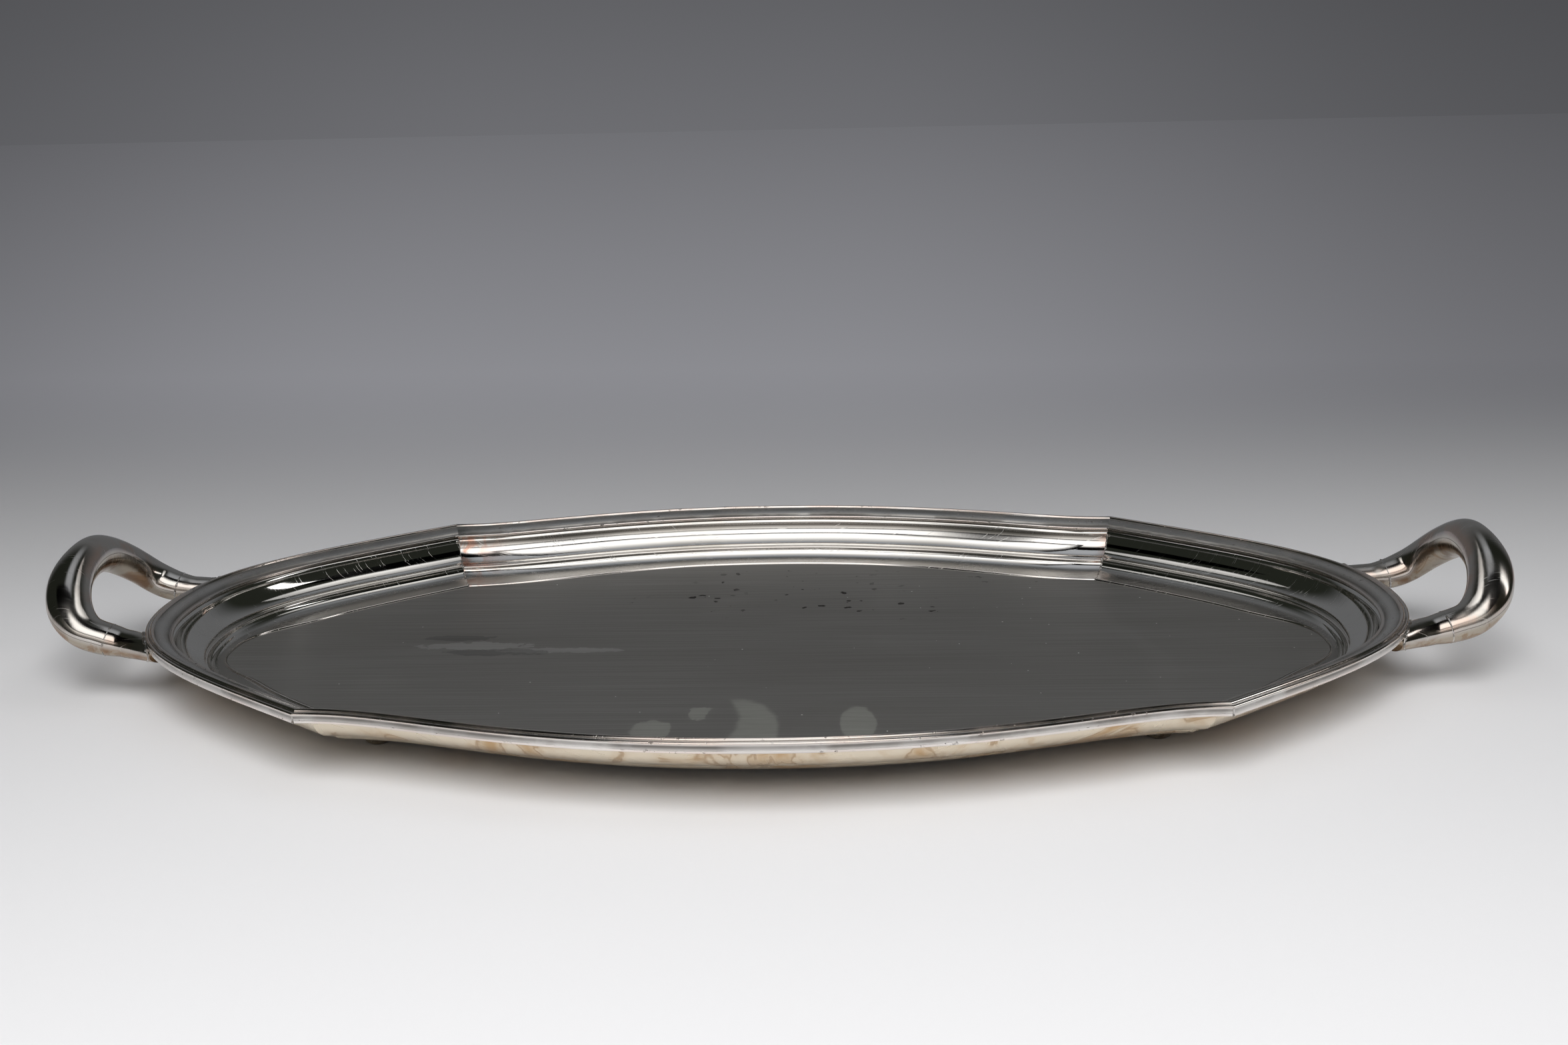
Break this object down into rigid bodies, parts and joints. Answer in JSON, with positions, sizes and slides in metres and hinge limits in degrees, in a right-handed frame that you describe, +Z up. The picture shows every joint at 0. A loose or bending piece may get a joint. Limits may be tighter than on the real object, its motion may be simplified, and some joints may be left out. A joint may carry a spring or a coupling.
{
  "type": "oval serving tray with two loop handles",
  "caption": "Oval metal serving tray with pointed corners, a stepped wall, a reeded rim, raised loop handles at both ends and small bun feet.",
  "frame": {"origin": "on the table plane, below the centre of the tray", "axes": "+X along the tray's length towards one handle, +Y across its width, +Z up"},
  "size_m": [0.6934, 0.36, 0.0691],
  "materials": {
    "brushed_plate": "satin",
    "polished_plate": "polished",
    "rubbed_plate": "polished",
    "handle_plate": "polished",
    "tarnished_plate": "polished",
    "cast_plate": "polished",
    "dull_foot": "satin"
  },
  "bodies": {
    "root": {"floor_plate": "brushed_plate", "wall_front": "polished_plate", "wall_back": "polished_plate", "wall_left": "polished_plate", "wall_right": "polished_plate", "rim_front": "rubbed_plate", "rim_back": "rubbed_plate", "rim_left": "rubbed_plate", "rim_right": "rubbed_plate", "handle_left_arm_front": "cast_plate", "handle_left_arm_back": "cast_plate", "handle_left_grip_upper": "handle_plate", "handle_left_grip_lower": "tarnished_plate", "handle_right_arm_front": "cast_plate", "handle_right_arm_back": "cast_plate", "handle_right_grip_upper": "handle_plate", "handle_right_grip_lower": "tarnished_plate", "foot_front_left": "dull_foot", "foot_front_right": "dull_foot", "foot_back_left": "dull_foot", "foot_back_right": "dull_foot"}
  },
  "joints": []
}
